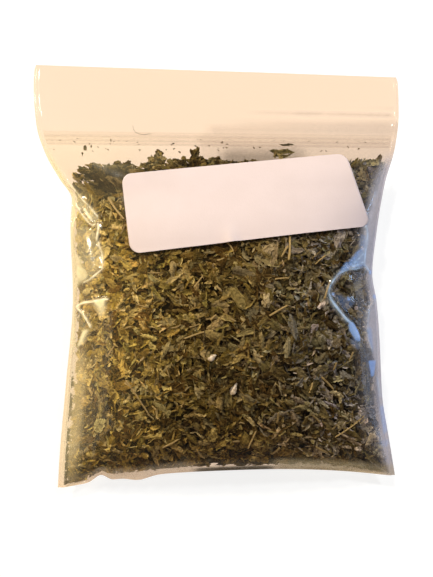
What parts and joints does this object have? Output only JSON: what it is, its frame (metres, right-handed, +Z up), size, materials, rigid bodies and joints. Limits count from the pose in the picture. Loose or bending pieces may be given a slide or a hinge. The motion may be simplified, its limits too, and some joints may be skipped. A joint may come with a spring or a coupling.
{
  "type": "filled grip-seal bag of cut dried lemon balm leaf",
  "caption": "Clear resealable film bag filled with cut dried lemon balm leaf and bits of stalk, with a plain white sticker on its front, lying flat.",
  "frame": {"origin": "middle of the bag's outline in plan, on the surface that it lies on", "axes": "+X to the bag's right as the label is read, +Y from the bottom fold towards the mouth, +Z up from the back panel to the front panel"},
  "size_m": [0.1422, 0.1654, 0.0318],
  "materials": {
    "film": "clear glossy polyethylene film, slightly milky",
    "zip": "clear extruded polyethylene strip, fine lengthwise ribs",
    "label": "matt white self-adhesive paper, die-cut corners, unprinted",
    "leaf": "dry cut leaf, matt, olive to brown with paler undersides",
    "stalk": "dry fibrous stalk, straw-coloured, matt",
    "pale_bit": "papery dried calyx, off-white, matt"
  },
  "bodies": {
    "root": {"bag_film": "film", "zip_channel": "zip", "zip_rib": "zip", "label": "label", "dried_leaf_bed": "leaf", "stalk_01": "stalk", "stalk_02": "stalk", "stalk_03": "stalk", "stalk_04": "stalk", "stalk_05": "stalk", "stalk_06": "stalk", "stalk_07": "stalk", "stalk_08": "stalk", "stalk_09": "stalk", "stalk_10": "stalk", "stalk_11": "stalk", "stalk_12": "stalk", "pale_bit_01": "pale_bit", "pale_bit_02": "pale_bit"}
  },
  "joints": []
}
